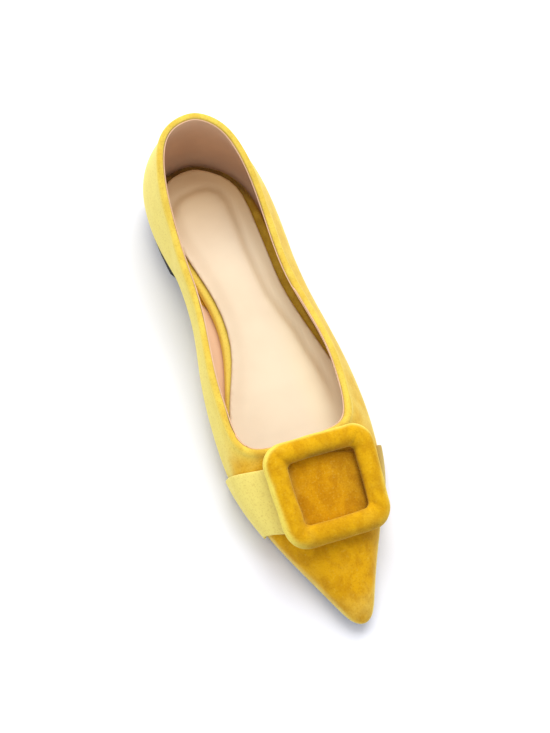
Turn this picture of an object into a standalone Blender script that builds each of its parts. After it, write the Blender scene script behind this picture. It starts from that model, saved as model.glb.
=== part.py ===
"""A pointed toe flat for the left foot, in velvet, with a padded square buckle.

The shoe stands on the floor at z = 0, its toe towards -Y and its outer side towards +X. The origin is
on the floor, under the middle of the heel seat. Sizes are in metres and angles in degrees.
"""

import math
from collections import namedtuple

import bmesh
import bpy
import numpy as np
from mathutils import Vector
from mathutils.bvhtree import BVHTree

MM = 0.001

# Driving sizes of the last
LENGTH = 262 * MM
SOLE_WIDTH = 74 * MM
HEEL_CENTRE = 32 * MM
VAMP_LENGTH = 90 * MM
COLLAR_WIDTH = 58 * MM
THROAT_HEIGHT = 39 * MM
BACK_HEIGHT = 71 * MM
SEAT_HEIGHT = 11 * MM
TOE_SPRING = 5 * MM

# Driving sizes of the pieces
WALL = 2.4 * MM
LASTING_MARGIN = 9 * MM
ROLL_HEIGHT = 4.6 * MM
ROLL_SWELL = 1.2 * MM
SOLE_THICKNESS = 2.6 * MM
SOLE_INSET = 1.0 * MM
HEEL_LENGTH = 56 * MM
HEEL_INSET = 1.1 * MM
HEEL_EDGE = 0.8 * MM
FOOTBED_HEIGHT = 6 * MM
FOOTBED_TOE_GAP = 21 * MM
FOOTBED_ROLL = 2 * MM
SOCK_THICKNESS = 1.2 * MM
SOCK_INSET = 4.1 * MM
SOCK_FLAT = 7 * MM
STRAP_WIDTH = 31.5 * MM
STRAP_SPREAD = 5 * MM
STRAP_START = 1.2 * MM
STRAP_THICKNESS = 1.6 * MM
STRAP_BOW = 8 * MM
STRAP_BACK = 27.5 * MM
STRAP_TURN = -6
BUCKLE_WIDTH = 58 * MM
BUCKLE_TOE_WIDTH = 53.5 * MM
BUCKLE_LENGTH = 53 * MM
BUCKLE_RIM = 11.3 * MM
BUCKLE_HEIGHT = 7 * MM
BUCKLE_CORNER = 11 * MM
WINDOW_CORNER = 3 * MM
BUCKLE_BEND = 90 * MM
BUCKLE_TURN = -2.5
BUCKLE_SHIFT = 0.8 * MM
BUCKLE_BACK = 2.5 * MM

# Clearances between pieces that touch
GAP = 0.3 * MM
STRAP_GAP = 0.5 * MM
FOOTBED_CLEARANCE = 1.2 * MM

# Places along the shoe, as shares of the length from the back of the heel
ARCH_BACK = 0.24
ARCH_FRONT = 0.60
SPRING_START = 0.75
SOCK_WIDENS = (0.42, 0.58)
FOOTBED_THINS = (0.62, 0.86)
TOE_TAPER_START = 0.78

# Shares that the insole pieces keep of a size once they reach the toe
TOE_INSET_SHARE = 0.35
TOE_PADDING_SHARE = 0.45
TOE_SOCK_INSET_SHARE = 0.2

# The sole's middle line stops short of its ends by these shares of SOLE_WIDTH
TOE_ROUND = 0.30
HEEL_ROUND = 0.38

# How far from the buckle's middle the slope of the vamp is read, as shares of the buckle's width and length
SLOPE_REACH = (0.25, 0.35)

COLUMNS_PER_WALL = 3

# The upper's wall at its stations round the shoe, from the toe along the inner side to the heel and back
# along the outer side.
# foot_along, foot_across: the edge on the sole, in shares of LENGTH from the heel and of SOLE_WIDTH
# top_along, top_across: the topline, in shares of the collar's length from the heel and of COLLAR_WIDTH
# rise: the topline's height, 0 at THROAT_HEIGHT and 1 at BACK_HEIGHT
# flare, lean: the wall's slope out from the vertical at its foot and at its top
# belly, bend: how far those slopes carry on, as shares of the straight line from foot to top
Wall = namedtuple("Wall", "foot_along foot_across top_along top_across rise flare belly lean bend")
TOE_WALL = Wall(0.997, 0.006, 1.000, 0.015, 0.000, 5, 0.10, 74, 0.45)
INNER_WALLS = [
    Wall(0.985, -0.068, 0.999, -0.134, -0.010, 6, 0.11, 73, 0.45),
    Wall(0.947, -0.134, 0.994, -0.278, -0.060, 6, 0.14, 70, 0.45),
    Wall(0.885, -0.223, 0.980, -0.410, -0.130, 9, 0.18, 62, 0.44),
    Wall(0.820, -0.317, 0.950, -0.492, -0.180, 12, 0.24, 50, 0.42),
    Wall(0.745, -0.407, 0.900, -0.531, -0.190, 17, 0.30, 36, 0.38),
    Wall(0.670, -0.457, 0.830, -0.532, -0.160, 24, 0.33, 25, 0.35),
    Wall(0.590, -0.440, 0.745, -0.521, -0.100, 33, 0.35, 17, 0.33),
    Wall(0.500, -0.367, 0.635, -0.477, -0.020, 52, 0.40, 12, 0.33),
    Wall(0.410, -0.270, 0.520, -0.433, 0.080, 62, 0.42, 10, 0.33),
    Wall(0.320, -0.262, 0.400, -0.432, 0.210, 50, 0.38, 9, 0.33),
    Wall(0.230, -0.322, 0.285, -0.422, 0.390, 28, 0.36, 8, 0.33),
    Wall(0.145, -0.363, 0.180, -0.396, 0.630, 22, 0.36, 9, 0.33),
    Wall(0.065, -0.330, 0.085, -0.317, 0.850, 25, 0.37, 11, 0.33),
    Wall(0.015, -0.205, 0.035, -0.178, 0.970, 25, 0.38, 12, 0.33),
]
HEEL_WALL = Wall(0.000, 0.000, 0.022, 0.000, 1.000, 22, 0.38, 12, 0.33)
OUTER_WALLS = [
    Wall(0.015, 0.172, 0.035, 0.143, 0.970, 25, 0.38, 12, 0.33),
    Wall(0.065, 0.354, 0.085, 0.303, 0.850, 31, 0.37, 11, 0.33),
    Wall(0.145, 0.433, 0.180, 0.397, 0.620, 37, 0.36, 9, 0.33),
    Wall(0.230, 0.447, 0.285, 0.428, 0.370, 38, 0.36, 8, 0.33),
    Wall(0.320, 0.451, 0.400, 0.427, 0.180, 37, 0.36, 9, 0.33),
    Wall(0.410, 0.496, 0.520, 0.440, 0.050, 31, 0.36, 10, 0.33),
    Wall(0.500, 0.546, 0.635, 0.499, -0.040, 22, 0.36, 12, 0.33),
    Wall(0.590, 0.559, 0.745, 0.544, -0.110, 18, 0.35, 17, 0.33),
    Wall(0.670, 0.541, 0.830, 0.540, -0.170, 14, 0.33, 25, 0.35),
    Wall(0.745, 0.483, 0.900, 0.514, -0.200, 10, 0.30, 36, 0.38),
    Wall(0.820, 0.371, 0.950, 0.465, -0.190, 7, 0.24, 50, 0.42),
    Wall(0.885, 0.250, 0.980, 0.388, -0.130, 7, 0.18, 62, 0.44),
    Wall(0.947, 0.146, 0.994, 0.278, -0.060, 5, 0.14, 70, 0.45),
    Wall(0.985, 0.079, 0.999, 0.154, -0.010, 6, 0.11, 73, 0.45),
]
WALLS = [TOE_WALL, *INNER_WALLS, HEEL_WALL, *OUTER_WALLS]

# Shares of the wall from its foot to the groove under the rolled topline
WALL_SHARES = (0, 0.12, 0.24, 0.37, 0.50, 0.62, 0.74, 0.87)
# The rolled topline up to its crest: share of ROLL_HEIGHT below the top, share of ROLL_SWELL out
ROLL_PROFILE = ((1.0, 0.0), (0.82, 0.6), (0.5, 1.0), (0.2, 0.8), (0.03, 0.2))
# The crest between the outer and inner faces: share of WALL in from the outer face
CREST = (0.3, 0.75)

# The buckle's padding round one bar: shares of BUCKLE_RIM in from the outer edge and of BUCKLE_HEIGHT up
BUCKLE_PROFILE = (
    (0.10, 0.0),
    (0.0, 0.22),
    (0.05, 0.55),
    (0.2, 0.86),
    (0.5, 1.0),
    (0.8, 0.86),
    (0.95, 0.55),
    (1.0, 0.22),
    (0.90, 0.0),
    (0.5, 0.0),
)
CORNER_STEPS = 6
SIDE_STEPS = 5
STRAP_STATIONS = 9
STRAP_RAYS = 49

VELVET = ("velvet", (0.80, 0.52, 0.03), 0.9)
RUBBER = ("black_rubber", (0.02, 0.02, 0.02), 0.6)
LEATHER = ("beige_leather", (0.78, 0.60, 0.42), 0.5)


def start_empty():
    """Clears the scene, so that only the shoe is in it."""
    for obj in list(bpy.data.objects):
        bpy.data.objects.remove(obj)


def closed_spline(rows, steps):
    """A smooth closed curve through the rows, with that many points from each row to the next."""
    rows = np.array(rows, float)
    count = len(rows)
    weights = np.zeros((count, count))
    for i in range(count):
        weights[i, i] = 4 / 6
        weights[i, i - 1] = 1 / 6
        weights[i, (i + 1) % count] = 1 / 6
    control = np.linalg.solve(weights, rows)
    points = []
    for i in range(count):
        a, b, c, d = (control[(i + k) % count] for k in (-1, 0, 1, 2))
        for step in range(steps):
            t = step / steps
            points.append(
                (
                    (1 - t) ** 3 * a
                    + (3 * t**3 - 6 * t**2 + 4) * b
                    + (-3 * t**3 + 3 * t**2 + 3 * t + 1) * c
                    + t**3 * d
                )
                / 6
            )
    return np.array(points)


def smooth_step(value, low, high):
    """0 below low, 1 above high, and a smooth rise between them."""
    t = np.clip((value - low) / (high - low), 0, 1)
    return t * t * (3 - 2 * t)


def along(y):
    """The share of the length at y, from 0 at the back of the heel to 1 at the toe."""
    return (HEEL_CENTRE - y) / LENGTH


def sole_top(y):
    """The height at which the upper stands on the outsole."""
    share = along(y)
    seat = 1 - smooth_step(share, ARCH_BACK, ARCH_FRONT)
    spring = np.clip((share - SPRING_START) / (1 - SPRING_START), 0, 1) ** 1.7
    return SOLE_THICKNESS + (SEAT_HEIGHT - SOLE_THICKNESS) * seat + TOE_SPRING * spring


def outward(loop):
    """The horizontal direction out of a closed loop at each of its points."""
    tangent = np.roll(loop, -1, axis=0) - np.roll(loop, 1, axis=0)
    normal = np.stack([-tangent[:, 1], tangent[:, 0], 0 * tangent[:, 0]], axis=1)
    return normal / np.linalg.norm(normal, axis=1, keepdims=True)


def spine_of(loop):
    """The point on the middle line of the sole that each point of a loop looks at."""
    other = loop[(-np.arange(len(loop))) % len(loop)]
    spine = (loop + other) / 2
    toe_end = loop[0, 1] + TOE_ROUND * SOLE_WIDTH
    heel_end = loop[len(loop) // 2, 1] - HEEL_ROUND * SOLE_WIDTH
    spine[:, 1] = np.clip(spine[:, 1], toe_end, heel_end)
    return spine


def drawn_in(loop, distance):
    """The loop with each point moved towards the middle line by that distance, in plan."""
    offset = (spine_of(loop) - loop)[:, :2]
    room = np.linalg.norm(offset, axis=1, keepdims=True)
    moved = loop.copy()
    moved[:, :2] += offset / room * np.minimum(distance, 0.75 * room)
    return moved


def eased_in(loop, distance):
    """The loop drawn in by that distance at its sides and by less at its toe, to keep the toe's shape."""
    start = TOE_TAPER_START
    share = np.clip((along(loop[:, 1]) - start) / (along(loop[0, 1]) - start), 0, 1)
    return drawn_in(loop, distance * (1 - (1 - TOE_INSET_SHARE) * share[:, None]))


def at_height(loop, height):
    """The loop with its heights replaced by a number or by one number for each point."""
    lifted = loop.copy()
    lifted[:, 2] = height
    return lifted


def foot_and_top():
    """The loops of the wall's foot and of its top, and the wall's other values at each of their points."""
    rows = closed_spline(WALLS, COLUMNS_PER_WALL)
    table = Wall(*rows.T)
    collar_length = LENGTH - VAMP_LENGTH
    foot_y = HEEL_CENTRE - table.foot_along * LENGTH
    foot = np.stack([table.foot_across * SOLE_WIDTH, foot_y, sole_top(foot_y)], axis=1)
    top = np.stack(
        [
            table.top_across * COLLAR_WIDTH,
            HEEL_CENTRE - table.top_along * collar_length,
            THROAT_HEIGHT + table.rise * (BACK_HEIGHT - THROAT_HEIGHT),
        ],
        axis=1,
    )
    return foot, top, table


def slanted(direction, angle, rising):
    """Unit vectors that lean out along the direction by the angle from the vertical."""
    angle = np.radians(angle)[:, None]
    return direction * np.sin(angle) + np.array([0, 0, rising]) * np.cos(angle)


class UpperSurface:
    """The outer surface of the upper, as one curved wall from the foot loop to the topline."""

    def __init__(self):
        self.foot, self.top, table = foot_and_top()
        self.chord = np.linalg.norm(self.top - self.foot, axis=1)[:, None]
        foot_slope = slanted(outward(self.foot), table.flare, 1)
        top_slope = slanted(outward(self.top), table.lean, -1)
        self.low = self.foot + foot_slope * self.chord * table.belly[:, None]
        self.high = self.top + top_slope * self.chord * table.bend[:, None]
        self.roll_share = ROLL_HEIGHT / (3 * self.chord * table.bend[:, None])

    def points(self, share):
        """The surface at a share of the wall's height, a number or one for each column."""
        t = np.clip(share, 0, 1)
        return (
            (1 - t) ** 3 * self.foot
            + 3 * (1 - t) ** 2 * t * self.low
            + 3 * (1 - t) * t**2 * self.high
            + t**3 * self.top
        )

    def normals(self, share):
        """The directions out of the surface at that share."""
        step = 0.01
        share = np.clip(share, step, 1 - step)
        here = self.points(share)
        round_the_shoe = np.roll(here, -1, axis=0) - np.roll(here, 1, axis=0)
        up_the_wall = self.points(share + step) - self.points(share - step)
        normal = np.cross(up_the_wall, round_the_shoe)
        return normal / np.linalg.norm(normal, axis=1, keepdims=True)

    def shell(self, share, out):
        """The surface at that share, moved out along its normals."""
        return self.points(share) + self.normals(share) * out

    def outer_rows(self):
        """Rows of points up the outer face, from the foot to the crest of the rolled topline."""
        below_roll = 1 - self.roll_share
        rows = [self.shell(s * below_roll, 0) for s in WALL_SHARES]
        rows += [self.shell(1 - s * self.roll_share, out * ROLL_SWELL) for s, out in ROLL_PROFILE]
        return rows

    def inner_rows(self):
        """Rows of points down the inner face, from the topline to the lasting margin."""
        below_roll = 1 - self.roll_share
        rows = [self.shell(1 - 0.15 * self.roll_share, -WALL), self.shell(below_roll, -WALL)]
        rows += [self.shell(s * below_roll, -WALL) for s in reversed(WALL_SHARES[1:])]
        return rows


def new_object(name, verts, faces, finish):
    """A closed mesh object with its faces pointing out and its own material."""
    mesh = bpy.data.meshes.new(name)
    mesh.from_pydata([tuple(v) for v in verts], [], faces)
    shape = bmesh.new()
    shape.from_mesh(mesh)
    bmesh.ops.recalc_face_normals(shape, faces=shape.faces)
    shape.to_mesh(mesh)
    shape.free()
    mesh.shade_smooth()
    mesh.set_sharp_from_angle(angle=math.radians(50))
    obj = bpy.data.objects.new(name, mesh)
    bpy.context.scene.collection.objects.link(obj)
    mesh.materials.append(material(name, *finish))
    return obj


def material(piece, finish, colour, roughness):
    """A plain material for one piece."""
    made = bpy.data.materials.new(f"{piece}_{finish}")
    made.use_nodes = True
    shader = made.node_tree.nodes["Principled BSDF"]
    shader.inputs["Base Color"].default_value = (*colour, 1)
    shader.inputs["Roughness"].default_value = roughness
    return made


def bands(loops, closed):
    """Faces between each loop and the next, all closed round. closed joins the last loop to the first."""
    count = len(loops[0])
    faces = []
    for row in range(len(loops) - (0 if closed else 1)):
        low = row * count
        high = (row + 1) % len(loops) * count
        for i in range(count):
            j = (i + 1) % count
            faces.append((low + i, low + j, high + j, high + i))
    return faces


def lid(first, count):
    """Faces across a loop, each from a pair of points on one side to the pair facing it."""
    faces = []
    for i in range((count + 1) // 2):
        corners = (i, i + 1, count - i - 1, (count - i) % count)
        unique = list(dict.fromkeys(corners))
        if len(unique) > 2:
            faces.append([first + c for c in unique])
    return faces


def ring_solid(name, loops, finish):
    """A solid like a bent tube, whose cross-section runs through the loops and back to the first."""
    return new_object(name, np.concatenate(loops), bands(loops, True), finish)


def stacked_solid(name, loops, finish):
    """A solid whose skin runs through the loops from a lid on the first to a lid on the last."""
    count = len(loops[0])
    faces = bands(loops, False) + lid(0, count) + lid((len(loops) - 1) * count, count)
    return new_object(name, np.concatenate(loops), faces, finish)


def build_upper(surface):
    """The velvet upper and its lining, one wall turned in under the foot as a lasting margin."""
    foot = surface.foot
    crest = [surface.shell(1, -WALL * share) for share in CREST]
    corner = at_height(drawn_in(foot, WALL), foot[:, 2] + WALL)
    margin_end = drawn_in(foot, WALL + LASTING_MARGIN)
    margin_height = sole_top(margin_end[:, 1])
    margin = [corner, at_height(margin_end, margin_height + WALL), at_height(margin_end, margin_height)]
    loops = surface.outer_rows() + crest + surface.inner_rows() + margin
    return ring_solid("upper", loops, VELVET)


def build_outsole(foot):
    """The rubber sole, flat under the ball of the foot and raised at the arch and the toe."""
    edge = 0.3 * SOLE_THICKNESS
    side = drawn_in(foot, SOLE_INSET)
    rim = drawn_in(foot, SOLE_INSET + edge)
    side_height = sole_top(side[:, 1])
    rim_height = sole_top(rim[:, 1])
    loops = [
        at_height(rim, rim_height - GAP),
        at_height(side, side_height - GAP - 0.5 * edge),
        at_height(side, side_height - SOLE_THICKNESS + edge),
        at_height(rim, rim_height - SOLE_THICKNESS),
    ]
    return stacked_solid("outsole", loops, RUBBER)


def heel_loop(foot):
    """The back of the foot loop as far as the heel's front edge, starting at the back of the heel."""
    half = len(foot) // 2
    front = HEEL_CENTRE - HEEL_LENGTH
    reach = 0
    while foot[half + reach + 1, 1] > front and foot[half - reach - 1, 1] > front:
        reach += 1
    order = list(range(half, half + reach + 1)) + list(range(half - reach, half))
    loop = foot[order].copy()
    for corner in (reach, reach + 1):
        loop[corner, 1] = front
    return loop


def build_heel(foot):
    """The low heel block under the back of the sole."""
    loop = heel_loop(foot)
    top = sole_top(loop[:, 1]) - SOLE_THICKNESS - GAP
    side = drawn_in_heel(loop, HEEL_INSET)
    loops = [
        at_height(side, top),
        at_height(side, HEEL_EDGE),
        at_height(drawn_in_heel(loop, HEEL_INSET + HEEL_EDGE), 0),
    ]
    return stacked_solid("heel", loops, RUBBER)


def drawn_in_heel(loop, distance):
    """The heel's loop with each point moved towards the heel's middle by that distance, in plan."""
    middle = np.array([loop[:, 0].mean(), HEEL_CENTRE - 0.5 * HEEL_LENGTH])
    offset = middle - loop[:, :2]
    room = np.linalg.norm(offset, axis=1, keepdims=True)
    moved = loop.copy()
    moved[:, :2] += offset / room * distance
    return moved


def short_of_toe(loop):
    """The loop with its toe drawn back, so that the footbed ends before the vamp comes down to it."""
    start = HEEL_CENTRE - TOE_TAPER_START * LENGTH
    scale = 1 - FOOTBED_TOE_GAP / (start - loop[0, 1])
    moved = loop.copy()
    moved[:, 1] = np.where(loop[:, 1] < start, start + (loop[:, 1] - start) * scale, loop[:, 1])
    return moved


def footbed_thickness(y):
    """The padding's height, full under the heel and arch and thin under the toes."""
    return FOOTBED_HEIGHT * (1 - (1 - TOE_PADDING_SHARE) * smooth_step(along(y), *FOOTBED_THINS))


def build_footbed(foot):
    """The padded footbed, wrapped in velvet, with a rounded edge that shows round the sock."""
    base = short_of_toe(foot)
    ground = sole_top(base[:, 1])
    floor = ground + WALL + GAP
    height = footbed_thickness(base[:, 1])
    edge = WALL + FOOTBED_CLEARANCE
    board = eased_in(base, WALL + LASTING_MARGIN + FOOTBED_CLEARANCE)
    loops = [at_height(board, ground), at_height(board, floor)]
    for roll, rise in ((0.0, 0.0), (0.0, 0.45), (0.3, 0.80), (1.0, 1.0)):
        loops.append(at_height(eased_in(base, edge + roll * FOOTBED_ROLL), floor + rise * height))
    loops.append(at_height(eased_in(base, edge + SOCK_FLAT), floor + height))
    return stacked_solid("footbed", loops, VELVET)


def sock_inset(y):
    """How far the sock stops short of the footbed at its edge, more at the heel and arch than at the toe."""
    return (SOCK_INSET * (1 - (1 - TOE_SOCK_INSET_SHARE) * smooth_step(along(y), *SOCK_WIDENS)))[:, None]


def build_sock(foot):
    """The beige leather sock that covers the footbed inside its velvet edge."""
    base = short_of_toe(foot)
    floor = sole_top(base[:, 1]) + WALL + 2 * GAP + footbed_thickness(base[:, 1])
    edge = WALL + FOOTBED_CLEARANCE
    rim = edge + sock_inset(base[:, 1])
    bevel = 0.5 * SOCK_THICKNESS
    loops = [
        at_height(eased_in(base, edge + SOCK_FLAT), floor),
        at_height(eased_in(base, rim), floor),
        at_height(eased_in(base, rim), floor + SOCK_THICKNESS - bevel),
        at_height(eased_in(base, rim + bevel), floor + SOCK_THICKNESS),
        at_height(eased_in(base, edge + SOCK_FLAT), floor + SOCK_THICKNESS),
    ]
    return stacked_solid("sock", loops, LEATHER)


def tree_of(rows):
    """A search tree over the surface that runs through rows of points, closed round."""
    verts = [Vector(p) for p in np.concatenate(rows)]
    return BVHTree.FromPolygons(verts, bands(rows, False))


def middle_at(foot, y):
    """The middle of the sole, across, at y."""
    half = len(foot) // 2 + 1
    other = foot[(-np.arange(half)) % len(foot)]
    return float(np.interp(y, foot[:half, 1], (foot[:half, 0] + other[:, 0]) / 2))


def strap_middle():
    """The y of the strap's middle line."""
    return HEEL_CENTRE - LENGTH + VAMP_LENGTH - STRAP_BACK


def build_strap(surface, tree):
    """The flat velvet strap over the vamp, from the sole on one side to the sole on the other."""
    turn = math.radians(STRAP_TURN)
    across = Vector((math.cos(turn), math.sin(turn), 0))
    ahead = Vector((math.sin(turn), -math.cos(turn), 0))
    middle = Vector((middle_at(surface.foot, strap_middle()), strap_middle(), 0))
    inner, outer = [], []
    for station in range(STRAP_STATIONS):
        share = station / (STRAP_STATIONS - 1) - 0.5
        centre = middle + ahead * (share * STRAP_WIDTH)
        centre.z = float(sole_top(centre.y)) + STRAP_START
        near, far = [], []
        for ray in range(STRAP_RAYS):
            angle = math.pi * ray / (STRAP_RAYS - 1)
            way = across * -math.cos(angle) + Vector((0, 0, math.sin(angle)))
            spread = share * STRAP_SPREAD * math.sin(angle) ** 6
            start = centre + ahead * (spread - STRAP_BOW * abs(math.cos(angle)) ** 4)
            hit, normal, _, _ = tree.ray_cast(start, way)
            normal *= math.copysign(1, normal.dot(way))
            near.append(hit + normal * STRAP_GAP)
            far.append(hit + normal * (STRAP_GAP + STRAP_THICKNESS))
        inner.append(near)
        outer.append(far)
    loops = [near + far[::-1] for near, far in zip(inner, outer)]
    count = len(loops[0])
    faces = bands(loops, False)
    for first in (0, (STRAP_STATIONS - 1) * count):
        for i in range(STRAP_RAYS - 1):
            faces.append((first + i, first + i + 1, first + count - i - 2, first + count - i - 1))
    new_object("strap", [v for loop in loops for v in loop], faces, VELVET)
    return outer


def frame_loop(inset):
    """The buckle's outline in its own plane, that far in from its outer edge, as points across and along."""
    share = inset / BUCKLE_RIM
    radius = BUCKLE_CORNER + (WINDOW_CORNER - BUCKLE_CORNER) * share
    half_width = (BUCKLE_WIDTH + BUCKLE_TOE_WIDTH) / 4 - inset
    half_length = BUCKLE_LENGTH / 2 - inset
    points = []
    for side_x, side_y, start in ((1, 1, 0), (-1, 1, 90), (-1, -1, 180), (1, -1, 270)):
        middle = np.array([side_x * (half_width - radius), side_y * (half_length - radius)])
        for step in range(CORNER_STEPS + 1):
            angle = math.radians(start + 90 * step / CORNER_STEPS)
            points.append(middle + radius * np.array([math.cos(angle), math.sin(angle)]))
    loop = []
    for i, point in enumerate(points):
        loop.append(point)
        if i % (CORNER_STEPS + 1) == CORNER_STEPS:
            reach = points[(i + 1) % len(points)] - point
            loop += [point + reach * k / SIDE_STEPS for k in range(1, SIDE_STEPS)]
    loop = np.array(loop)
    taper = (BUCKLE_WIDTH - BUCKLE_TOE_WIDTH) / (BUCKLE_WIDTH + BUCKLE_TOE_WIDTH)
    loop[:, 0] *= 1 + taper * loop[:, 1] / (BUCKLE_LENGTH / 2)
    return loop


def vamp_axes(tree, x, y):
    """The buckle's directions across, back and up, laid on the slope of the vamp under its middle."""
    turn = math.radians(BUCKLE_TURN)
    flat_across = Vector((math.cos(turn), math.sin(turn), 0))
    flat_back = Vector((-math.sin(turn), math.cos(turn), 0))
    middle = Vector((x, y, 0))
    directions = []
    for flat, reach in (
        (flat_across, SLOPE_REACH[0] * BUCKLE_WIDTH),
        (flat_back, SLOPE_REACH[1] * BUCKLE_LENGTH),
    ):
        low, high = (middle + flat * side * reach for side in (-1, 1))
        directions.append(drop_on(tree, high.x, high.y) - drop_on(tree, low.x, low.y))
    back = directions[1].normalized()
    up = directions[0].cross(back).normalized()
    return back.cross(up), back, up


def drop_on(tree, x, y):
    """The point of a surface straight under a point above the shoe."""
    return tree.ray_cast(Vector((x, y, 2 * BACK_HEIGHT)), Vector((0, 0, -1)))[0]


def open_tree(rows):
    """A search tree over an open sheet that runs through rows of points."""
    count = len(rows[0])
    faces = []
    for row in range(len(rows) - 1):
        for i in range(row * count, row * count + count - 1):
            faces.append((i, i + 1, i + 1 + count, i + count))
    return BVHTree.FromPolygons([v for row in rows for v in row], faces)


def build_buckle(surface, upper_tree, strap_rows):
    """The square buckle, a padded frame covered in velvet that lies on the strap, curved over the vamp."""
    y = strap_middle()
    x = middle_at(surface.foot, y) + BUCKLE_SHIFT
    y += BUCKLE_BACK
    across, back, up = vamp_axes(upper_tree, x, y)
    middle = drop_on(upper_tree, x, y)

    def placed(inset, height):
        points = []
        for along_arc, along_back in frame_loop(inset):
            angle = along_arc / BUCKLE_BEND
            radius = BUCKLE_BEND + height
            sideways = across * (radius * math.sin(angle))
            lift = up * (radius * math.cos(angle) - BUCKLE_BEND)
            points.append(middle + sideways + back * float(along_back) + lift)
        return points

    trees = (upper_tree, open_tree(strap_rows))

    def clearance(point):
        start = point + up * BACK_HEIGHT
        hits = [tree.ray_cast(start, -up)[0] for tree in trees]
        return min([(point - hit).dot(up) for hit in hits if hit is not None], default=BACK_HEIGHT)

    under = [point for share in (0.1, 0.5, 0.9) for point in placed(share * BUCKLE_RIM, 0)]
    lift = up * (GAP - min(clearance(point) for point in under))
    loops = []
    for share, rise in BUCKLE_PROFILE:
        loop = placed(share * BUCKLE_RIM, rise * BUCKLE_HEIGHT)
        loops.append([point + lift for point in loop])
    return ring_solid("buckle", loops, VELVET)


def build_shoe():
    """Every piece of the shoe, in its place."""
    start_empty()
    surface = UpperSurface()
    build_outsole(surface.foot)
    build_heel(surface.foot)
    build_upper(surface)
    build_footbed(surface.foot)
    build_sock(surface.foot)
    upper_tree = tree_of(surface.outer_rows())
    strap_rows = build_strap(surface, upper_tree)
    build_buckle(surface, upper_tree, strap_rows)


build_shoe()
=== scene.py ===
# %% [markdown]
# # A pointed flat in golden velvet
#
# This lesson dresses a packed shoe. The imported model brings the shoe's exact shapes: the velvet upper, the
# rubber sole and heel, the padded footbed, the leather sock, the strap and the padded buckle. What it
# doesn't bring is how they look. Here each piece gets its finer form and its finish, one after another.
#
# Everything is in metres. The toe points to -Y, the outer side of this left shoe to +X, and the floor is
# at z = 0.

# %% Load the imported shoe
import math

import bmesh
import bpy
from mathutils import Matrix, Vector, noise
from mathutils.kdtree import KDTree


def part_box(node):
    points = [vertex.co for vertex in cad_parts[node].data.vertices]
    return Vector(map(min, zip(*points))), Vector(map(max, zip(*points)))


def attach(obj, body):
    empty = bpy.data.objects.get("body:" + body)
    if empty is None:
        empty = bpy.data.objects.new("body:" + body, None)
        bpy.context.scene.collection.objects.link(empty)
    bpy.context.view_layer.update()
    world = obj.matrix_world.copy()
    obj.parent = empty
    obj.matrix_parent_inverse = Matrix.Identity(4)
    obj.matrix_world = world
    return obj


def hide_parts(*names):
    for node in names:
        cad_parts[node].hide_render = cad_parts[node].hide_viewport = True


MM = 0.001

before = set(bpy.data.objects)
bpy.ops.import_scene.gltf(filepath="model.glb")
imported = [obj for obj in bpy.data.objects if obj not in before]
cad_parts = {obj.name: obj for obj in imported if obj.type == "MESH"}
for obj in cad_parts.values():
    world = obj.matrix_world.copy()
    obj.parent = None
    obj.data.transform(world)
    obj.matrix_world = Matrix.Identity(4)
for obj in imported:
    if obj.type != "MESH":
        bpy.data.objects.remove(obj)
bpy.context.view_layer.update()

# %% [markdown]
# ## The camera
#
# The shoe is seen from in front and from high above, slightly from its inner side. A long lens would
# flatten it and a short one would swell the toe, so the camera stands as the one in the photo did, about
# 80 cm away, and the lens gives the shoe the same size in the picture.
#
# Blender aims a camera with a rotation. It is easier to think of three directions: where the camera looks,
# what is right and what is up in the picture. They are the columns of the camera's matrix. The picture's
# up is tilted, because the photo was taken with the camera a little turned.

# %% Stand the camera and aim it at the shoe
CAMERA_PLACE = Vector((-0.1585, -0.3570, 0.7644))
CAMERA_AIM = Vector((0.004, -0.095, 0.022))
PICTURE_UP = Vector((0.2978, 0.8673, 0.3990))
LENS = 78.8

looking = (CAMERA_AIM - CAMERA_PLACE).normalized()
right = looking.cross(PICTURE_UP).normalized()
upright = right.cross(looking)
camera_data = bpy.data.cameras.new("camera")
camera_data.lens = LENS
camera = bpy.data.objects.new("camera", camera_data)
turn = Matrix((right, upright, -looking)).transposed()
camera.matrix_world = Matrix.Translation(CAMERA_PLACE) @ turn.to_4x4()
bpy.context.scene.collection.objects.link(camera)
bpy.context.scene.camera = camera
print("camera", round((CAMERA_AIM - CAMERA_PLACE).length, 3), "m from the shoe")

# %% [markdown]
# ## Floor and light
#
# A product picture like this one is lit by large soft boxes over a white table. A large area light gives
# soft shadows: the bigger it is against its distance, the softer they are. The main one stands behind the
# shoe on its outer side, so that the soft shadow falls to the inner side and in front of the toe. Two weak
# ones in front and beside the heel keep that shadow pale, and a white world fills the rest, as the white
# walls of a studio do.

# %% Lay the floor
FLOOR_SIZE = 6.0
FLOOR_WHITE = (0.80, 0.81, 0.875, 1)

shape = bmesh.new()
bmesh.ops.create_grid(shape, x_segments=1, y_segments=1, size=FLOOR_SIZE / 2)
floor_mesh = bpy.data.meshes.new("floor")
shape.to_mesh(floor_mesh)
shape.free()
floor = bpy.data.objects.new("floor", floor_mesh)
bpy.context.scene.collection.objects.link(floor)
floor_finish = bpy.data.materials.new("white_table")
floor_finish.use_nodes = True
table = floor_finish.node_tree.nodes["Principled BSDF"]
table.inputs["Base Color"].default_value = FLOOR_WHITE
table.inputs["Roughness"].default_value = 0.7
table.inputs["Specular IOR Level"].default_value = 0.2
floor_mesh.materials.append(floor_finish)
print("floor", FLOOR_SIZE, "m wide")

# %% Light the table
SOFT_BOXES = {
    # place, size in metres, power in watts, colour
    "main_light": ((0.40, 0.68, 1.46), 1.3, 28.0, (1.0, 0.99, 0.97)),
    "front_fill": ((-0.9, -0.9, 0.9), 1.2, 1.8, (0.96, 0.98, 1.0)),
    "side_fill": ((-0.60, 0.45, 0.50), 0.5, 1.5, (0.97, 0.98, 1.0)),
}
WORLD_LIGHT = 0.73


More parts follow.
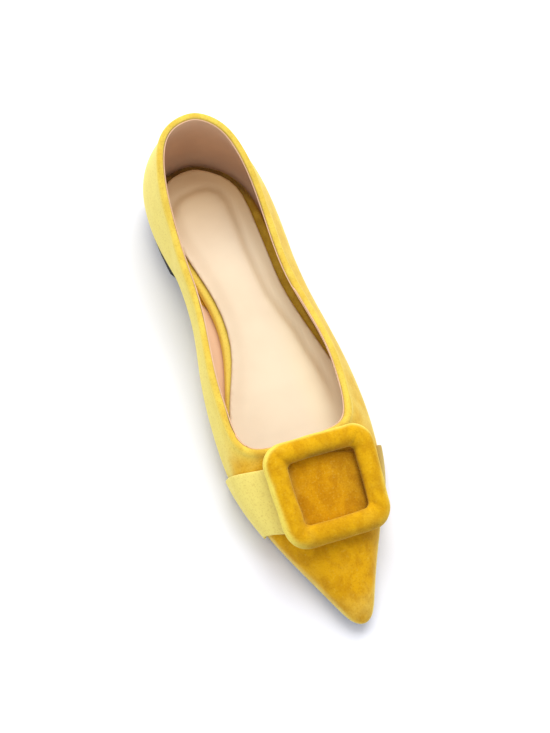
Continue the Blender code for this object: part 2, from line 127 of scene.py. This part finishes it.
def soft_box(name, place, size, power, colour):
    """A square soft box that looks at the shoe."""
    light = bpy.data.lights.new(name, "AREA")
    light.shape = "SQUARE"
    light.size = size
    light.energy = power
    light.color = colour
    holder = bpy.data.objects.new(name, light)
    holder.location = place
    holder.rotation_euler = (CAMERA_AIM - Vector(place)).to_track_quat("-Z", "Y").to_euler()
    bpy.context.scene.collection.objects.link(holder)


for name, values in SOFT_BOXES.items():
    soft_box(name, *values)
world = bpy.data.worlds.new("studio")
world.use_nodes = True
walls = world.node_tree.nodes["Background"]
walls.inputs["Color"].default_value = (1, 1, 1, 1)
walls.inputs["Strength"].default_value = WORLD_LIGHT
bpy.context.scene.world = world
bpy.context.scene.view_settings.view_transform = "Standard"
print("lights", list(SOFT_BOXES))

# %% [markdown]
# ## Tools for finishes
#
# A material in Blender is a small graph. Building one by hand in code soon gets long, so one helper adds a
# node, sets its values and joins its inputs. A second helper starts a material and hands back its shader,
# and a third joins a colour and a fine relief to that shader. The others mix, stretch and make values.

# %% Helpers that build materials
FINE_RELIEF = 0.1 * MM


def add(tree, kind, inputs=None, **settings):
    """A new shader node with its settings made and its inputs set to values or joined to sockets."""
    made = tree.nodes.new("ShaderNode" + kind)
    for name, value in settings.items():
        setattr(made, name, value)
    for name, value in (inputs or {}).items():
        if isinstance(value, bpy.types.NodeSocket):
            tree.links.new(value, made.inputs[name])
        else:
            made.inputs[name].default_value = value
    return made


def new_finish(name):
    """A new material, its node tree, its shader and the object's own coordinates."""
    finish = bpy.data.materials.new(name)
    finish.use_nodes = True
    tree = finish.node_tree
    own = add(tree, "TexCoord").outputs["Object"]
    return finish, tree, tree.nodes["Principled BSDF"], own


def maths(tree, way, *values):
    """A number worked out from others."""
    return add(tree, "Math", dict(enumerate(values)), operation=way).outputs[0]


def mixed(tree, share, low, high, way="MIX"):
    """A colour between two others, by a share from 0 to 1, or the first multiplied by the second."""
    blend = add(tree, "Mix", data_type="RGBA", blend_type=way)
    for socket, value in ((blend.inputs[0], share), (blend.inputs[6], low), (blend.inputs[7], high)):
        if isinstance(value, bpy.types.NodeSocket):
            tree.links.new(value, socket)
        else:
            socket.default_value = value if isinstance(value, float) else (*value, 1)
    return blend.outputs[2]


def spread(tree, value, low, high, to_low=0.0, to_high=1.0):
    """The value stretched so that low becomes to_low and high becomes to_high, smoothly."""
    inputs = {"Value": value, 1: low, 2: high, 3: to_low, 4: to_high}
    return add(tree, "MapRange", inputs, interpolation_type="SMOOTHSTEP").outputs[0]


def grain(tree, place, size, detail=2.0, distortion=0.0, roughness=0.5):
    """Cloudy noise whose patches are about that size in metres, from 0 to 1."""
    inputs = {
        "Vector": place,
        "Scale": 1 / size,
        "Detail": detail,
        "Distortion": distortion,
        "Roughness": roughness,
    }
    return add(tree, "TexNoise", inputs).outputs["Fac"]


def surfaced(tree, shader, colour, relief, strength, roughness, specular):
    """Gives a shader its colour, a fine relief and its shine."""
    bump = add(tree, "Bump", {"Height": relief, "Strength": strength, "Distance": FINE_RELIEF}).outputs[0]
    tree.links.new(colour, shader.inputs["Base Color"])
    tree.links.new(bump, shader.inputs["Normal"])
    shader.inputs["Roughness"].default_value = roughness
    shader.inputs["Specular IOR Level"].default_value = specular


print("finish helpers ready")

# %% [markdown]
# ## Velvet
#
# Velvet is a cloth with a short dense pile, like grass on a lawn. Looked at along the pile's tips, the eye
# sees deep between the fibres and the colour is dark and rich. Looked at from the side, or where the pile
# was brushed another way, it meets the lit flanks of the fibres and the colour turns pale. Three things
# make that here:
#
# - Each piece carries a number at each of its points, painted sheen and painted light: 0 where the
#   velvet shows deep amber, 1 where it is painted pale lemon, on sides seen at a grazing angle and on
#   slopes that face the light. The material reads it as an attribute. A second number brings in a third
#   colour: a painted highlight in bright yellow on the folded band round the topline, and painted shade
#   in umber and brown on the other pieces, under the buckle, on slopes turned from the light and deep in
#   the heel cup.
# - The shader's sheen adds the soft glow at grazing angles, with a yellow tint.
# - Noise at three sizes gives the patches where the pile was brushed, the clumps inside them and the fine
#   grain of the fibres. The two finer ones also drive the bump, so that light breaks up.

# %% Mix the velvet
SHEEN_TINT = (1.0, 0.92, 0.40, 1)
SHADED = (0.72, 0.62, 0.50)
BRUSHED_SIZE = 14 * MM
CLUMP_SIZE = 7 * MM
CLUMP_STRETCH = (1.35, 0.85, 1.1)
PILE_SIZE = 0.9 * MM


def velvet(name, deep, pale, painted_colour, patches=0.6, sheen=0.6):
    """Velvet that goes from deep to pale by the painted sheen and light at each point, and to a third colour
    where painted highlight and shade are marked.
    """
    finish, tree, shader, own = new_finish(name)
    painted_pale = add(tree, "Attribute", attribute_name="painted_pale").outputs["Fac"]
    painted_light = add(tree, "Attribute", attribute_name="painted_light").outputs["Fac"]
    brushed = grain(tree, own, BRUSHED_SIZE, detail=3.0, distortion=0.6)
    along = add(tree, "VectorMath", {0: own, 1: CLUMP_STRETCH}, operation="MULTIPLY").outputs[0]
    clumps = grain(tree, along, CLUMP_SIZE, detail=5.0, distortion=0.35, roughness=0.52)
    pile = grain(tree, own, PILE_SIZE, detail=3.0, roughness=0.6)

    # the painted sheen and light, turned a little by the brushed patches, chooses between deep and pale
    turned = maths(tree, "MULTIPLY_ADD", maths(tree, "SUBTRACT", brushed, 0.5), patches, painted_pale)
    colour = mixed(tree, spread(tree, turned, 0.0, 1.0), deep, pale)
    # painted highlight on the band and painted shade on the other pieces bring in the third colour, broken
    # up a little by the brushed patches
    painted_share = maths(tree, "MULTIPLY", painted_light, spread(tree, brushed, 0.25, 0.6, 0.55))
    colour = mixed(tree, painted_share, colour, painted_colour)

    # the clumps and the fibres darken it, the clumps more where the painted sheen leaves the colour deep
    flat = spread(tree, painted_pale, 0.7, 0.1, 0.12, 0.60)
    dark = maths(tree, "MULTIPLY", spread(tree, clumps, 0.62, 0.36), flat)
    colour = mixed(tree, dark, colour, SHADED, "MULTIPLY")
    colour = mixed(tree, spread(tree, pile, 0.50, 0.32, 0.0, 0.42), colour, SHADED, "MULTIPLY")
    colour = mixed(tree, spread(tree, pile, 0.54, 0.74, 0.0, 0.14), colour, pale)
    tree.links.new(colour, shader.inputs["Base Color"])

    soft = add(tree, "Bump", {"Height": clumps, "Strength": 0.25, "Distance": 0.5 * MM}).outputs[0]
    fibres = {"Height": pile, "Strength": 0.35, "Distance": 0.2 * MM, "Normal": soft}
    tree.links.new(add(tree, "Bump", fibres).outputs[0], shader.inputs["Normal"])
    shader.inputs["Roughness"].default_value = 0.92
    shader.inputs["Specular IOR Level"].default_value = 0.08
    shader.inputs["Sheen Weight"].default_value = sheen
    shader.inputs["Sheen Roughness"].default_value = 0.40
    shader.inputs["Sheen Tint"].default_value = SHEEN_TINT
    return finish


# deep colours, the pale lemon of painted sheen and light, the yellow of the painted highlight on the band,
# and umber and brown for painted shade
AMBER = (0.62, 0.322, 0.003)
SHEEN_LEMON = (0.76, 0.640, 0.170)
BAND_HIGHLIGHT = (0.74, 0.560, 0.085)
OLIVE = (0.60, 0.415, 0.045)
SHADE_UMBER = (0.27, 0.150, 0.008)
SHADE_BROWN = (0.17, 0.100, 0.030)

upper_velvet = velvet("golden_upper", AMBER, SHEEN_LEMON, BAND_HIGHLIGHT)
strap_velvet = velvet("golden_strap", (0.57, 0.265, 0.002), (0.78, 0.660, 0.175), SHADE_UMBER)
buckle_velvet = velvet(
    "golden_buckle", (0.63, 0.340, 0.004), (0.80, 0.655, 0.110), SHADE_UMBER, patches=0.8, sheen=0.35
)
wrap_velvet = velvet("golden_wrap", OLIVE, (0.80, 0.620, 0.110), SHADE_BROWN, patches=0.4, sheen=0.3)
print("velvets", [v.name for v in (upper_velvet, strap_velvet, buckle_velvet, wrap_velvet)])

# %% [markdown]
# ## Tools for pieces
#
# The imported pieces arrive as loose triangles. Before a copy can be shaped, its doubled corners are merged
# and its triangles are joined back into four-sided faces, because Blender's Subdivision Surface rounds
# four-sided faces best. Edges that must stay crisp, such as the rim of a sole, get a crease, a number from
# 0 to 1 that holds the surface to the edge. Each finished piece hides the imported node it stands for,
# and rides with the shoe.
#
# The lining and the topline are made from the inside of the upper's wall. To find it, a line is laid
# through the middle of the foot: a face that looks towards that line is an inner one.

# %% Helpers that copy, round and finish a piece
MERGE_DISTANCE = 0.001 * MM
CUT_TOLERANCE = 0.005 * MM
SMOOTH_UP_TO = 60  # degrees
TROUGH_END = 2.5  # in widths of the trough
FOOT_LINE = (3 * MM, 16 * MM)  # its x and z
FOOT_LINE_ENDS = (-190 * MM, 0.0)
TOWARDS_FOOT = 0.25
MARGIN_START = -50 * MM
MARGIN_TOP = 13.5 * MM


def copied(node):
    """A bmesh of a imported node, merged and with four-sided faces."""
    shape = bmesh.new()
    shape.from_mesh(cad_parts[node].data)
    bmesh.ops.remove_doubles(shape, verts=shape.verts, dist=MERGE_DISTANCE)
    bmesh.ops.join_triangles(
        shape,
        faces=shape.faces,
        angle_face_threshold=0.9,
        angle_shape_threshold=1.6,
        topology_influence=1.0,
    )
    return shape


def sharp_edges(shape, angle):
    """The edges where the surface turns by more than an angle in degrees."""
    return [e for e in shape.edges if len(e.link_faces) == 2 and e.calc_face_angle() > math.radians(angle)]


def held_crisp(shape, angle, crease):
    """Gives the edges that turn by more than an angle in degrees a crease."""
    layers = shape.edges.layers.float
    layer = layers.get("crease_edge") or layers.new("crease_edge")
    for edge in sharp_edges(shape, angle):
        edge[layer] = crease


def rounded(shape, levels):
    """The shape after a Subdivision Surface, as a new bmesh."""
    mesh = bpy.data.meshes.new("rounding")
    shape.to_mesh(mesh)
    shape.free()
    holder = bpy.data.objects.new("rounding", mesh)
    bpy.context.scene.collection.objects.link(holder)
    modifier = holder.modifiers.new("Rounding", "SUBSURF")
    modifier.levels = modifier.render_levels = levels
    result = bmesh.new()
    result.from_object(holder, bpy.context.evaluated_depsgraph_get())
    bpy.data.objects.remove(holder)
    bpy.data.meshes.remove(mesh)
    return result


def finished(name, shape, finishes, node=None):
    """A piece of the shoe from a bmesh, with its finishes, riding with the shoe."""
    mesh = bpy.data.meshes.new(name)
    shape.to_mesh(mesh)
    shape.free()
    mesh.shade_smooth()
    mesh.set_sharp_from_angle(angle=math.radians(SMOOTH_UP_TO))
    for finish in finishes:
        mesh.materials.append(finish)
    piece = bpy.data.objects.new(name, mesh)
    bpy.context.scene.collection.objects.link(piece)
    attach(piece, "root")
    if node:
        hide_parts(node)
    print(name, len(mesh.polygons), "faces")
    return piece


def pressed(shape, marks):
    """Presses troughs into a shape: start, end, width and depth of each. A depth below 0 makes a ridge."""
    for vert in shape.verts:
        depth = 0
        for start, end, width, deep in marks:
            reach = end - start
            share = max(0, min(1, (vert.co - start).dot(reach) / reach.length_squared))
            away = (vert.co - start - reach * share).length / width
            if away < TROUGH_END:
                depth += deep * math.exp(-away * away)
        if depth:
            vert.co -= vert.normal * depth


def uneven(shape, size, height):
    """Gives a surface the slight waves of cloth over padding."""
    for vert in shape.verts:
        vert.co += vert.normal * (noise.noise(vert.co / size) * height)


def looks_inside(face):
    """True for a face of the wall that the foot would touch, above the margin under the footbed."""
    centre = face.calc_center_median()
    toe, heel = FOOT_LINE_ENDS
    middle = Vector((FOOT_LINE[0], max(toe, min(heel, centre.y)), FOOT_LINE[1]))
    lowest = MARGIN_TOP if centre.y > MARGIN_START else 0.0
    return centre.z > lowest and (middle - centre).normalized().dot(face.normal) > TOWARDS_FOOT


def rise(value, low, high):
    """0 below low, 1 above high, and a smooth rise between them."""
    share = max(0.0, min(1.0, (value - low) / (high - low)))
    return share * share * (3 - 2 * share)


def cut_at(shape, place, direction, faces=None):
    """One straight cut through the whole shape, or through some of its faces."""
    geom = [*shape.verts, *shape.edges, *shape.faces]
    if faces:
        edges = dict.fromkeys(e for f in faces for e in f.edges)
        verts = dict.fromkeys(v for f in faces for v in f.verts)
        geom = [*verts, *edges, *faces]
    bmesh.ops.bisect_plane(shape, geom=geom, dist=CUT_TOLERANCE, plane_co=place, plane_no=direction)


def mark(shape, name, rule):
    """Stores a number at each point of a shape, worked out by a rule from the point."""
    layer = shape.verts.layers.float.new(name)
    for vert in shape.verts:
        vert[layer] = rule(vert)


def search_tree(points):
    """A tree that quickly finds the nearest of many points."""
    tree = KDTree(len(points))
    for i, point in enumerate(points):
        tree.insert(point, i)
    tree.balance()
    return tree


def in_plan(point):
    """The point dropped straight down to the floor."""
    return Vector((point.x, point.y, 0))


print("piece helpers ready")

# %% [markdown]
# ## The upper
#
# The upper is cut from velvet and pulled over a last, so it is smooth, with a folded band round the
# topline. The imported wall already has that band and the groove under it. What a lasted cloth adds is
# small: soft troughs where the quarter meets the vamp, a closing seam down the back, and the slightest
# unevenness all over. Sculpting by hand would work too, but a short list of marks in the shoe's own sizes
# can be read and changed. The seam is finer than the faces there, so the mesh is first cut along it three
# times, and the middle cut is pressed in.

# %% Make the velvet upper
UPPER_MARKS = [
    # start and end in metres, width and depth in millimetres
    # below the corners of the throat
    ((-0.029, -0.118, 0.034), (-0.036, -0.133, 0.018), 4.0, 0.35),
    ((0.031, -0.119, 0.034), (0.040, -0.131, 0.019), 4.0, 0.30),
    # along the inner quarter, towards the heel
    ((-0.028, -0.018, 0.048), (-0.027, -0.030, 0.024), 5.0, 0.45),
    ((-0.030, 0.000, 0.052), (-0.032, -0.004, 0.030), 4.0, -0.25),
    ((-0.024, -0.060, 0.038), (-0.030, -0.085, 0.026), 5.0, 0.30),
    # along the outer quarter
    ((0.029, -0.020, 0.046), (0.038, -0.040, 0.026), 5.0, 0.40),
    ((0.026, -0.055, 0.040), (0.036, -0.078, 0.024), 5.0, -0.25),
]

FOLD_WIDTH = 4.6 * MM
TOPLINE_LOWEST = 25 * MM
SEAM_WIDTH = 0.7 * MM
SEAM_DEPTH = 0.55 * MM
SEAM_START = 22 * MM
SEAM_FADE = 4 * MM
TOE_TIP = (-205 * MM, -224 * MM)


def inner_wall():
    """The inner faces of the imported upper, rounded."""
    shape = copied("upper")
    bmesh.ops.delete(shape, geom=[f for f in shape.faces if not looks_inside(f)], context="FACES")
    return rounded(shape, levels=2)


def topline():
    """A search tree of the points along the inner edge of the topline."""
    shape = inner_wall()
    points = [v.co.copy() for v in shape.verts if v.is_boundary and v.co.z > TOPLINE_LOWEST]
    shape.free()
    return search_tree(points)


def upper_painted_sheen(vert):
    """Painted sheen: pale lemon on the steep inner wall, seen from the side, yellow on the outer one and by
    the throat, deep amber on the toe, paler at its tip and where it turns down.
    """
    slope = 1 - vert.normal.z
    steep = rise(slope, 0.05, 0.70)
    outer = rise(vert.co.x, 0, 12 * MM)
    wall = (1 - outer) * (0.34 + 0.62 * steep) + outer * (0.42 + 0.45 * rise(slope, 0.45, 0.98))
    toe = 0.15 * outer * steep + 0.25 * rise(vert.co.y, *TOE_TIP) + 0.40 * rise(slope, 0.50, 0.95)
    behind = rise(vert.co.y, (-164 - 8 * outer) * MM, (-118 - 12 * outer) * MM)
    return behind * wall + (1 - behind) * toe


def upper_painted_highlight(vert):
    """Painted highlight on the folded band round the topline, where the fold catches the light, fading out
    past its groove.
    """
    away = topline_tree.find(vert.co)[2]
    return 0.85 * rise(away, FOLD_WIDTH + 4 * MM, FOLD_WIDTH - 2 * MM)


def seamed(shape):
    """Presses the closing seam into the velvet down the back of the heel, from the folded band on."""
    for shift in (-SEAM_WIDTH, 0, SEAM_WIDTH):
        back = [f for f in shape.faces if f.calc_center_median().y > SEAM_START]
        cut_at(shape, Vector((shift, 0, 0)), Vector((1, 0, 0)), back)
    shape.normal_update()
    for vert in shape.verts:
        if vert.normal.y > 0.3 and vert.co.y > SEAM_START and abs(vert.co.x) < 2 * SEAM_WIDTH:
            below_band = rise(topline_tree.find(vert.co)[2], FOLD_WIDTH, FOLD_WIDTH + SEAM_FADE)
            vert.co -= vert.normal * SEAM_DEPTH * below_band * math.exp(-((vert.co.x / SEAM_WIDTH) ** 2))


topline_tree = topline()
shape = copied("upper")
held_crisp(shape, angle=60, crease=0.9)
shape = rounded(shape, levels=2)
pressed(shape, [(Vector(a), Vector(b), width * MM, depth * MM) for a, b, width, depth in UPPER_MARKS])
seamed(shape)
uneven(shape, size=22 * MM, height=0.16 * MM)
shape.normal_update()
mark(shape, "painted_pale", upper_painted_sheen)
mark(shape, "painted_light", upper_painted_highlight)
finished("velvet_upper", shape, [upper_velvet], "upper")

# %% [markdown]
# ## The lining
#
# Inside the upper lies a thin lining of pink beige microfibre. Its upper edge ends just under the velvet
# fold and shows as a thin light line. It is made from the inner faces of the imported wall, and Solidify
# gives the sheet its thickness towards the foot.

# %% Make the lining
LINING = 0.55 * MM
microfibre, tree, shader, own = new_finish("beige_microfibre")
mottle = spread(tree, grain(tree, own, 12 * MM, detail=3.0), 0.3, 0.7)
colour = mixed(tree, mottle, (0.68, 0.435, 0.275), (0.73, 0.475, 0.300))
surfaced(tree, shader, colour, grain(tree, own, 0.5 * MM), strength=0.2, roughness=0.62, specular=0.3)
shader.inputs["Sheen Weight"].default_value = 0.15

lining = finished("lining", inner_wall(), [microfibre])
wall = lining.modifiers.new("Thickness", "SOLIDIFY")
wall.thickness = LINING
wall.offset = 1.0

# %% [markdown]
# ## The footbed
#
# The insole board and its foam are wrapped in the same velvet, and its rounded edge shows between the
# lining and the sock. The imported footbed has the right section, so it is only rounded and made slightly
# uneven.

# %% Make the velvet footbed
def wrap_painted_light(vert):
    """Painted light: paler along the inner side of the waist, where the light falls in."""
    waist = rise(vert.co.y, -140 * MM, -100 * MM) * rise(vert.co.y, -15 * MM, -40 * MM)
    return 0.9 * waist * rise(-vert.co.x, 0, 10 * MM)


def wrap_shade(vert):
    """Painted shade: brown round the back of the heel, deep in the heel cup."""
    return rise(vert.co.y, -10 * MM, 10 * MM)


shape = rounded(copied("footbed"), levels=2)
uneven(shape, size=14 * MM, height=0.12 * MM)
mark(shape, "painted_pale", wrap_painted_light)
mark(shape, "painted_light", wrap_shade)
footbed = finished("velvet_footbed", shape, [wrap_velvet], "footbed")

# %% [markdown]
# ## The sock
#
# The sock is the thin sheet of smooth leather that the foot stands on. Under it lies a pad for the heel
# and arch, whose edge shows as a shallow groove: round the back of the heel, then along the outer side
# down to the ball. To press so fine a groove, the flat top needs many small faces of about one size. Its
# triangles are dissolved into one big face, and bisecting that with two rows of parallel planes cuts it
# into a grid. At the waist the sock's outer edge is drawn in a little, as a glued sheet often sits, and
# the velvet wrap shows beside it.

# %% Make the leather sock
SOCK_GRID = 1.5 * MM
PAD_EDGE = [
    # x and y of the groove, in millimetres, from the inner side of the heel round to the ball
    (-17, 2),
    (-14, 7),
    (-8, 10.5),
    (0, 11.8),
    (7, 11),
    (11.8, 7),
    (14.2, 0),
    (14.5, -12),
    (14, -28),
    (14.6, -42),
    (16, -56),
    (19.4, -68),
    (22.6, -78),
    (24.6, -90),
    (26.8, -99),
    (28.5, -112),
    (28.2, -125),
]
# in millimetres too: the groove's width and depth, and the pad's rise, its soft edge, its end and its fade
GROOVE_WIDTH = 2.1
GROOVE_DEPTH = 1.0
PAD_RISE = 1.1
PAD_SOFTNESS = 2.5
PAD_END = -128
PAD_FADE = 25
# in metres: the width of the flat rim, the reach of the smoothing, and how far the edge is drawn in
PAD_FLAT = 8 * MM
HEIGHT_REACH = 10 * MM
DRAWN_IN = 1.9 * MM


def cut_in_grid(shape, step):
    """Cuts every face along planes that stand that far apart, first along the shoe and then across it."""
    low = Vector(map(min, *(v.co for v in shape.verts)))
    high = Vector(map(max, *(v.co for v in shape.verts)))
    for axis, direction in ((1, Vector((0, 1, 0))), (0, Vector((1, 0, 0)))):
        for k in range(1, int((high[axis] - low[axis]) / step)):
            cut_at(shape, direction * (low[axis] + k * step), direction)


def heights_along(points):
    """A function that gives the smoothed height of points at any distance along the shoe."""
    points = sorted((p.y, p.z) for p in points)

    def height(y):
        total = weights = 0.0
        for at, z in points:
            weight = math.exp(-(((at - y) / HEIGHT_REACH) ** 2)) + 1e-9
            total += weight * z
            weights += weight
        return total / weights

    return height


def pad_relief(place, from_edge):
    """How far the sock's top rises or sinks at a place, and how deep in the groove it is, which sets the
    painted shade there.
    """
    point = Vector((place.x, place.y)) / MM
    nearest, side = 1e9, 0
    for start, end in zip(PAD_EDGE, PAD_EDGE[1:]):
        start, reach = Vector(start), Vector(end) - Vector(start)
        share = max(0, min(1, (point - start).dot(reach) / reach.length_squared))
        offset = point - start - reach * share
        if offset.length < nearest:
            nearest = offset.length
            side = reach.x * offset.y - reach.y * offset.x
    fade = max(0, min(1, (point.y - PAD_END) / PAD_FADE))
    inside = 0.5 - 0.5 * math.tanh(math.copysign(nearest, side) / PAD_SOFTNESS)
    raised = PAD_RISE * inside * rise(from_edge, 0, PAD_FLAT)
    groove = math.exp(-((nearest / GROOVE_WIDTH) ** 2))
    return (raised - GROOVE_DEPTH * groove) * fade * MM, groove * fade


def drawn_in(place):
    """How far the sock's outer edge is drawn in at a place, so that the velvet wrap shows beside it."""
    waist = rise(-place.y, -14 * MM, 25 * MM) * rise(place.y, -92 * MM, -48 * MM)
    return DRAWN_IN * waist * rise(place.x, 2 * MM, 14 * MM)


shape = copied("sock")
painted_groove_shade = shape.verts.layers.float.new("painted_groove_shade")
flat = [f for f in shape.faces if f.normal.z > 0.9]
bmesh.ops.dissolve_faces(shape, faces=flat, use_verts=False)
height = heights_along([v.co for f in shape.faces if f.normal.z > 0.9 for v in f.verts])
cut_in_grid(shape, SOCK_GRID)
for vert in shape.verts:
    vert.co.x -= drawn_in(vert.co)
shape.normal_update()
for face in shape.faces:
    face.material_index = 0 if face.normal.z > 0.5 else 1
top = dict.fromkeys(v for f in shape.faces if f.normal.z > 0.9 for v in f.verts)
rim = search_tree([in_plan(v.co) for v in top if any(f.normal.z < 0.9 for f in v.link_faces)])
for vert in top:
    from_edge = rim.find(in_plan(vert.co))[2]
    lift, vert[painted_groove_shade] = pad_relief(vert.co, from_edge)
    vert.co.z = height(vert.co.y) + lift

# %% Give the sock its leather and its dark cut edge
leather, tree, shader, own = new_finish("beige_leather")
clouds = spread(tree, grain(tree, own, 30 * MM, detail=3.0), 0.3, 0.7)
colour = mixed(tree, clouds, (0.69, 0.560, 0.395), (0.73, 0.610, 0.440))
# painted shade in the pad's groove, darker the deeper in it
groove = add(tree, "Attribute", attribute_name="painted_groove_shade").outputs["Fac"]
colour = mixed(tree, spread(tree, groove, 0.0, 1.0, 0.0, 0.4), colour, (0.80, 0.74, 0.66), "MULTIPLY")
# painted shade, darker and warmer towards the heel, and painted light, paler along the outer side against
# the wall's shadow
where = add(tree, "SeparateXYZ", {0: own}).outputs
colour = mixed(tree, spread(tree, where["Y"], -30 * MM, 20 * MM), colour, (1.06, 0.98, 0.80), "MULTIPLY")
colour = mixed(tree, spread(tree, where["X"], 8 * MM, 22 * MM), colour, (1.10, 1.12, 1.06), "MULTIPLY")
pores = grain(tree, own, 0.8 * MM, detail=3.0)
surfaced(tree, shader, colour, pores, strength=0.12, roughness=0.48, specular=0.35)

cut_edge, _, shader, _ = new_finish("cut_edge")
shader.inputs["Base Color"].default_value = (0.14, 0.10, 0.04, 1)
shader.inputs["Roughness"].default_value = 0.8
finished("leather_sock", shape, [leather, cut_edge], "sock")

# %% [markdown]
# ## The strap
#
# The strap is a band of velvet with folded edges, drawn flat over the vamp. Its edges are crisp but not
# sharp: a small bevel of two segments gives the light something to catch, and the Subdivision Surface then
# rounds the rest.

# %% Make the strap
STRAP_EDGE = 0.4 * MM


def strap_painted_sheen(vert):
    """Painted sheen: pale lemon on the inner flank, seen from the side, deep amber in the buckle's window
    and on the outer flank.
    """
    return 0.95 * rise(-vert.co.x, 9 * MM, 20 * MM)


def strap_shade(vert):
    """Painted shade: a little umber towards the outer side, in the window under the buckle's shadow and on
    the outer flank.
    """
    return 0.30 * rise(vert.co.x, 4 * MM, 17 * MM) + 0.40 * rise(vert.co.x, 27 * MM, 36 * MM)


shape = copied("strap")
bmesh.ops.bevel(
    shape,
    geom=sharp_edges(shape, angle=50),
    offset=STRAP_EDGE,
    segments=2,
    profile=0.5,
    affect="EDGES",
    material=-1,
    clamp_overlap=True,
)
shape = rounded(shape, levels=1)
uneven(shape, size=16 * MM, height=0.1 * MM)
mark(shape, "painted_pale", strap_painted_sheen)
mark(shape, "painted_light", strap_shade)
finished("velvet_strap", shape, [strap_velvet], "strap")

# %% [markdown]
# ## The buckle
#
# The buckle is a stiff square frame under foam, wrapped in velvet. It is round in section, a little
# uneven where the foam gives, and gathered at the inner corners of its window, where the cloth has to
# turn. Those gathers are short troughs that run out from each corner.

# %% Make the padded buckle
buckle_low, buckle_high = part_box("buckle")
BUCKLE_MIDDLE = (buckle_low + buckle_high) / 2
WINDOW_HALF = (17 * MM, 14.5 * MM)
GATHER_REACH = 3.5 * MM
GATHER_WIDTH = 1.1 * MM
GATHER_DEPTH = 0.35 * MM


def looks_out(vert):
    """1 where the padding faces away from the buckle's middle, -1 where it faces into the window."""
    return vert.normal.dot(in_plan(vert.co - BUCKLE_MIDDLE).normalized())


def buckle_painted_light(vert):
    """Painted sheen and light: deep amber on top and inside the window, paler where the padding turns down
    on the outside, most on the inner side, seen at a grazing angle, and on the back, which faces the light.
    """
    outside = rise(looks_out(vert), 0.20, 0.90)
    across, along = vert.normal.x, vert.normal.y
    side = 1.1 * max(0, -across) + 0.95 * max(0, along) + 0.5 * max(0, across)
    return min(1, 1.1 * outside * side)


def buckle_shade(vert):
    """Painted shade: umber where the padding turns down into the window away from the light, and on the
    front slope towards the toe, turned from the light behind the shoe.
    """
    inside = rise(-looks_out(vert), 0.70, 1.0)
    turned = rise(-0.5 * vert.normal.x - vert.normal.y, -0.6, 0.6)
    front = rise(-vert.normal.y, 0.35, 0.95) * (1 - inside)
    return 0.85 * inside * turned + 0.38 * front


def gathers(shape):
    """Short troughs that run out from the window's corners over the padding."""
    tops = [v.co.copy() for v in shape.verts if v.normal.z > 0.2]
    plan = search_tree([in_plan(p) for p in tops])
    marks = []
    half_x, half_y = WINDOW_HALF
    for across, along in ((-1, -1), (-1, 1), (1, -1), (1, 1)):
        corner = in_plan(BUCKLE_MIDDLE) + Vector((across * half_x, along * half_y, 0))
        end = corner + Vector((across, along, 0)) * GATHER_REACH
        start, end = (tops[plan.find(p)[1]] for p in (corner, end))
        marks.append((start, end, GATHER_WIDTH, GATHER_DEPTH))
    return marks


shape = rounded(copied("buckle"), levels=3)
shape.normal_update()
pressed(shape, gathers(shape))
uneven(shape, size=9 * MM, height=0.28 * MM)
shape.normal_update()
mark(shape, "painted_pale", buckle_painted_light)
mark(shape, "painted_light", buckle_shade)
buckle = finished("velvet_buckle", shape, [buckle_velvet], "buckle")

# %% [markdown]
# ## Sole and heel
#
# The sole and the heel are moulded in black rubber. They are copied, rounded along their rims by the
# Subdivision Surface, and held crisp with creases. Fine grooves across the underside give grip. The mesh is
# first bisected along every groove, three cuts each, and the middle one is then pressed upward. So the
# ribs between the grooves stay on the floor and the shoe's size doesn't change.

# %% Make the sole and the heel
TREAD_PITCH = 2.4 * MM
GROOVE_HALF = 0.45 * MM
TREAD_DEPTH = 0.4 * MM
TREAD_COLUMNS = 3 * MM
TREAD_ENDS = (1 * MM, 3 * MM)
ON_THE_CUT = 0.01 * MM
TREAD_REACH = {"outsole": (-205 * MM, -92 * MM), "heel": (-19 * MM, 27 * MM)}


def grooved(shape, toe_end, heel_end):
    """Presses fine grooves into the underside between two places along the shoe."""
    low, high = min(v.co.x for v in shape.verts), max(v.co.x for v in shape.verts)
    for k in range(1, int((high - low) / TREAD_COLUMNS)):
        cut_at(shape, Vector((low + k * TREAD_COLUMNS, 0, 0)), Vector((1, 0, 0)))
    count = int((heel_end - toe_end) / TREAD_PITCH)
    middles = [toe_end + TREAD_PITCH * (k + 0.5) for k in range(count)]
    for middle in middles:
        for shift in (-GROOVE_HALF, 0, GROOVE_HALF):
            cut_at(shape, Vector((0, middle + shift, 0)), Vector((0, 1, 0)))
    shape.normal_update()
    under = [v for v in shape.verts if v.normal.z < -0.9]
    for middle in middles:
        line = [v for v in under if abs(v.co.y - middle) < ON_THE_CUT]
        low, high = min(v.co.x for v in line), max(v.co.x for v in line)
        for vert in line:
            vert.co.z += TREAD_DEPTH * rise(min(vert.co.x - low, high - vert.co.x), *TREAD_ENDS)
    print("grooves", count)


rubber, tree, shader, own = new_finish("black_rubber")
dust = spread(tree, grain(tree, own, 6 * MM, detail=4.0), 0.35, 0.75)
colour = mixed(tree, dust, (0.014, 0.013, 0.012), (0.035, 0.033, 0.030))
surfaced(tree, shader, colour, grain(tree, own, 0.4 * MM), strength=0.25, roughness=0.6, specular=0.3)

for node, slot in (("outsole", "sole_rubber"), ("heel", "heel_rubber")):
    shape = copied(node)
    held_crisp(shape, angle=30, crease=0.75)
    shape = rounded(shape, levels=2)
    grooved(shape, *TREAD_REACH[node])
    finished("rubber_" + node, shape, [rubber], node)
